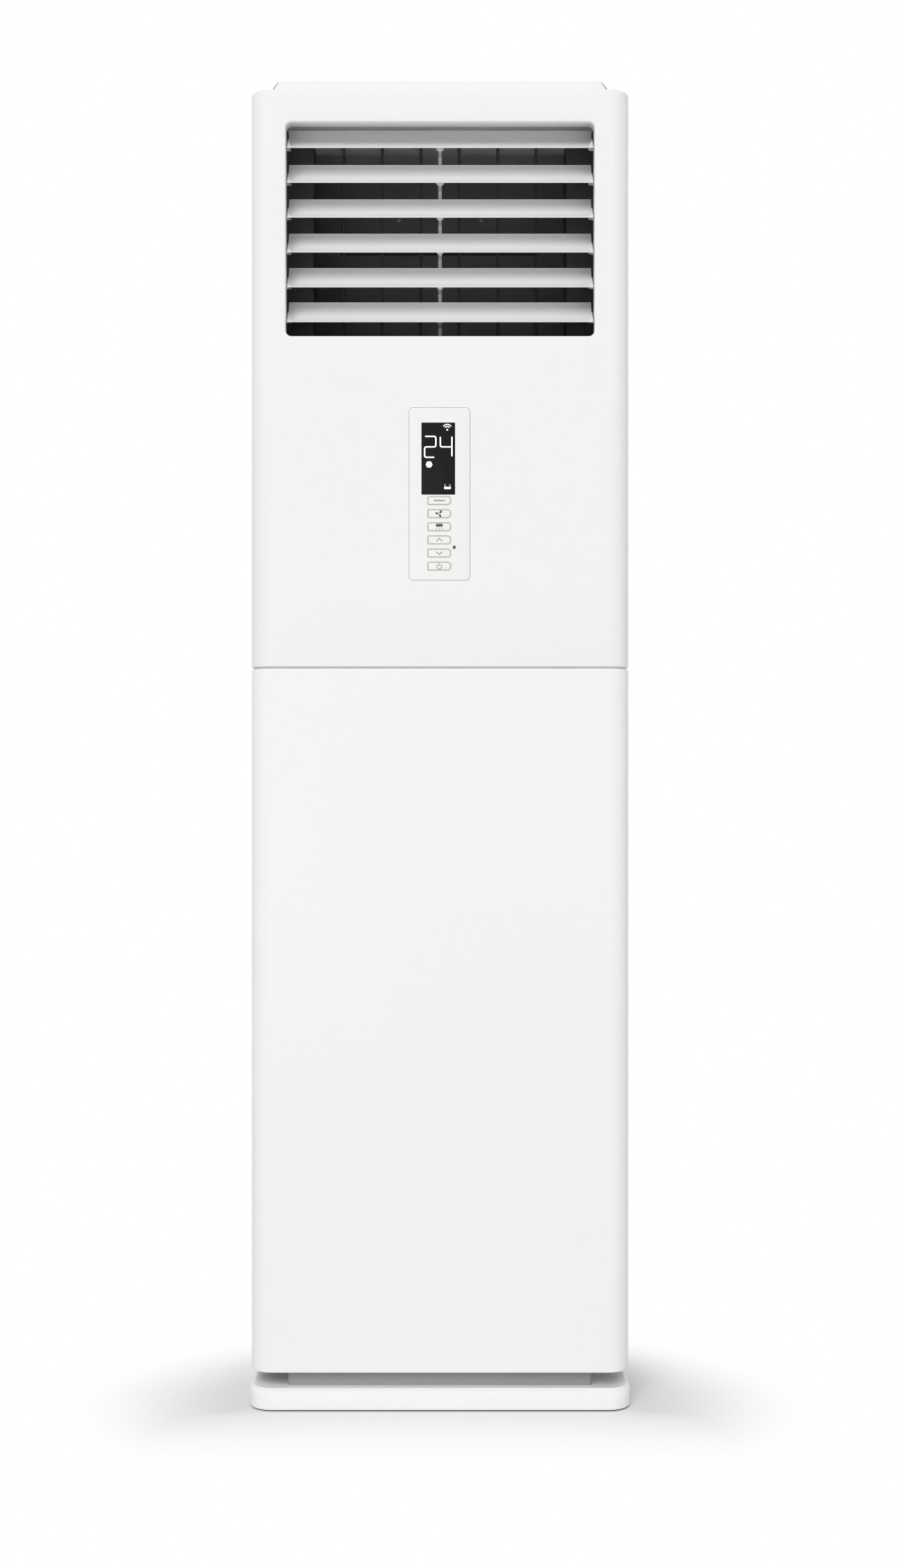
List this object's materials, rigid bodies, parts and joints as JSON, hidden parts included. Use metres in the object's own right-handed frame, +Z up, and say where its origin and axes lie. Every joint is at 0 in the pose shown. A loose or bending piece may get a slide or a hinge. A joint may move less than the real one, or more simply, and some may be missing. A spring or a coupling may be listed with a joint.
{
  "type": "floor_standing_air_conditioner",
  "caption": "White floor standing air conditioner with a top outlet, slatted louvers and a central touch-size control panel",
  "frame": {"origin": "middle of the footprint on the floor", "axes": "+X to the right seen from the front, +Y from the front to the back, +Z up"},
  "size_m": [0.504, 0.304, 1.76],
  "materials": {
    "plastic_white": "satin white moulded ABS",
    "paint_white": "white powder-coated sheet steel",
    "sheet_grey": "grey painted sheet steel",
    "sheet_zinc": "zinc-coated sheet steel",
    "plastic_dark": "dark grey moulded plastic",
    "plastic_light_grey": "light grey moulded plastic",
    "plastic_bezel": "bluish white moulded plastic",
    "glass_black": "black tinted window",
    "board_green": "green circuit board",
    "aluminium_fin": "bare aluminium fins",
    "copper": "bright drawn copper",
    "hose_grey": "grey flexible hose",
    "brass": "plain brass",
    "steel": "turned steel",
    "paint_black": "black painted steel",
    "filter_grey": "grey filter frame and mesh"
  },
  "bodies": {
    "cabinet": {"base_plinth": "plastic_white", "base_pan": "sheet_grey", "left_side_panel": "paint_white", "right_side_panel": "paint_white", "back_panel": "sheet_zinc", "top_cover": "plastic_white", "upper_front_panel": "plastic_white", "lower_front_panel": "plastic_white", "outlet_duct": "plastic_dark", "centre_support": "plastic_light_grey", "louver_motor": "sheet_zinc", "vane_motor": "sheet_zinc", "control_bezel": "plastic_bezel", "display_window": "glass_black", "control_board": "board_green", "signal_lens": "glass_black", "evaporator_fins": "aluminium_fin", "evaporator_tubes": "copper", "left_coil_bracket": "sheet_zinc", "right_coil_bracket": "sheet_zinc", "drain_pan": "plastic_dark", "drain_hose": "hose_grey", "gas_pipe": "copper", "liquid_pipe": "copper", "cap_nuts": "brass", "partition_plate": "sheet_zinc", "fan_housing_front": "sheet_zinc", "fan_housing_rear": "sheet_zinc", "fan_motor": "paint_black", "electrical_box": "sheet_zinc", "electrical_box_cover": "sheet_zinc", "terminal_block": "plastic_dark", "cable_gland": "plastic_dark"},
    "louver_body_1": {"louver_1": "plastic_white"},
    "louver_body_2": {"louver_2": "plastic_white"},
    "louver_body_3": {"louver_3": "plastic_white"},
    "louver_body_4": {"louver_4": "plastic_white"},
    "louver_body_5": {"louver_5": "plastic_white"},
    "louver_body_6": {"louver_6": "plastic_white"},
    "louver_link_body": {"louver_link": "plastic_light_grey"},
    "vane_body_1": {"vane_1": "plastic_dark"},
    "vane_body_2": {"vane_2": "plastic_dark"},
    "vane_body_3": {"vane_3": "plastic_dark"},
    "vane_body_4": {"vane_4": "plastic_dark"},
    "vane_body_5": {"vane_5": "plastic_dark"},
    "vane_body_6": {"vane_6": "plastic_dark"},
    "vane_link_body": {"vane_link": "plastic_dark"},
    "mode_key": {"mode_button": "plastic_bezel"},
    "fan_key": {"fan_button": "plastic_bezel"},
    "swing_key": {"swing_button": "plastic_bezel"},
    "up_key": {"up_button": "plastic_bezel"},
    "down_key": {"down_button": "plastic_bezel"},
    "power_key": {"power_button": "plastic_bezel"},
    "blower": {"blower_wheel": "plastic_light_grey", "motor_shaft": "steel", "wheel_nut": "steel"},
    "left_intake": {"left_intake_grille": "plastic_white", "left_air_filter": "filter_grey"},
    "right_intake": {"right_intake_grille": "plastic_white", "right_air_filter": "filter_grey"}
  },
  "joints": [
    {"name": "louver_1_swing", "type": "hinge", "parent": "cabinet", "child": "louver_body_1", "pos_m": [0, -0.1123, 1.671], "axis": [1, 0, 0], "range_deg": [-40, 30]},
    {"name": "louver_2_swing", "type": "hinge", "parent": "cabinet", "child": "louver_body_2", "pos_m": [0, -0.1123, 1.625], "axis": [1, 0, 0], "range_deg": [-40, 30]},
    {"name": "louver_3_swing", "type": "hinge", "parent": "cabinet", "child": "louver_body_3", "pos_m": [0, -0.1123, 1.579], "axis": [1, 0, 0], "range_deg": [-40, 30]},
    {"name": "louver_4_swing", "type": "hinge", "parent": "cabinet", "child": "louver_body_4", "pos_m": [0, -0.1123, 1.533], "axis": [1, 0, 0], "range_deg": [-40, 30]},
    {"name": "louver_5_swing", "type": "hinge", "parent": "cabinet", "child": "louver_body_5", "pos_m": [0, -0.1123, 1.487], "axis": [1, 0, 0], "range_deg": [-40, 30]},
    {"name": "louver_6_swing", "type": "hinge", "parent": "cabinet", "child": "louver_body_6", "pos_m": [0, -0.1123, 1.441], "axis": [1, 0, 0], "range_deg": [-40, 30]},
    {"name": "louver_link_pin", "type": "hinge", "parent": "louver_body_1", "child": "louver_link_body", "pos_m": [0.21325, -0.0983, 1.671], "axis": [1, 0, 0], "range_deg": [-36, 41]},
    {"name": "vane_1_swing", "type": "hinge", "parent": "cabinet", "child": "vane_body_1", "pos_m": [-0.13125, -0.052, 1.556], "axis": [0, 0, 1], "range_deg": [-35, 35]},
    {"name": "vane_2_swing", "type": "hinge", "parent": "cabinet", "child": "vane_body_2", "pos_m": [-0.07875, -0.052, 1.556], "axis": [0, 0, 1], "range_deg": [-35, 35]},
    {"name": "vane_3_swing", "type": "hinge", "parent": "cabinet", "child": "vane_body_3", "pos_m": [-0.02625, -0.052, 1.556], "axis": [0, 0, 1], "range_deg": [-35, 35]},
    {"name": "vane_4_swing", "type": "hinge", "parent": "cabinet", "child": "vane_body_4", "pos_m": [0.02625, -0.052, 1.556], "axis": [0, 0, 1], "range_deg": [-35, 35]},
    {"name": "vane_5_swing", "type": "hinge", "parent": "cabinet", "child": "vane_body_5", "pos_m": [0.07875, -0.052, 1.556], "axis": [0, 0, 1], "range_deg": [-35, 35]},
    {"name": "vane_6_swing", "type": "hinge", "parent": "cabinet", "child": "vane_body_6", "pos_m": [0.13125, -0.052, 1.556], "axis": [0, 0, 1], "range_deg": [-35, 35]},
    {"name": "vane_link_pin", "type": "hinge", "parent": "vane_body_1", "child": "vane_link_body", "pos_m": [-0.13125, -0.026, 1.556], "axis": [0, 0, 1], "range_deg": [-36, 36]},
    {"name": "mode_press", "type": "slide", "parent": "cabinet", "child": "mode_key", "axis": [0, 1, 0], "range_m": [0, 0.0008], "stiffness_N_per_m": 400},
    {"name": "fan_press", "type": "slide", "parent": "cabinet", "child": "fan_key", "axis": [0, 1, 0], "range_m": [0, 0.0008], "stiffness_N_per_m": 400},
    {"name": "swing_press", "type": "slide", "parent": "cabinet", "child": "swing_key", "axis": [0, 1, 0], "range_m": [0, 0.0008], "stiffness_N_per_m": 400},
    {"name": "up_press", "type": "slide", "parent": "cabinet", "child": "up_key", "axis": [0, 1, 0], "range_m": [0, 0.0008], "stiffness_N_per_m": 400},
    {"name": "down_press", "type": "slide", "parent": "cabinet", "child": "down_key", "axis": [0, 1, 0], "range_m": [0, 0.0008], "stiffness_N_per_m": 400},
    {"name": "power_press", "type": "slide", "parent": "cabinet", "child": "power_key", "axis": [0, 1, 0], "range_m": [0, 0.0008], "stiffness_N_per_m": 400},
    {"name": "blower_spin", "type": "hinge", "parent": "cabinet", "child": "blower", "pos_m": [-0.016, 0, 0.56], "axis": [0, 1, 0], "continuous": true},
    {"name": "left_intake_pull", "type": "slide", "parent": "cabinet", "child": "left_intake", "axis": [-1, 0, 0], "range_m": [0, 0.06]},
    {"name": "right_intake_pull", "type": "slide", "parent": "cabinet", "child": "right_intake", "axis": [1, 0, 0], "range_m": [0, 0.06]}
  ],
  "couplings": [
    {"joint": "louver_2_swing", "follows": "louver_1_swing", "ratio": 1},
    {"joint": "louver_3_swing", "follows": "louver_1_swing", "ratio": 1},
    {"joint": "louver_4_swing", "follows": "louver_1_swing", "ratio": 1},
    {"joint": "louver_5_swing", "follows": "louver_1_swing", "ratio": 1},
    {"joint": "louver_6_swing", "follows": "louver_1_swing", "ratio": 1},
    {"joint": "louver_link_pin", "follows": "louver_1_swing", "ratio": -1},
    {"joint": "vane_2_swing", "follows": "vane_1_swing", "ratio": 1},
    {"joint": "vane_3_swing", "follows": "vane_1_swing", "ratio": 1},
    {"joint": "vane_4_swing", "follows": "vane_1_swing", "ratio": 1},
    {"joint": "vane_5_swing", "follows": "vane_1_swing", "ratio": 1},
    {"joint": "vane_6_swing", "follows": "vane_1_swing", "ratio": 1},
    {"joint": "vane_link_pin", "follows": "vane_1_swing", "ratio": -1}
  ]
}
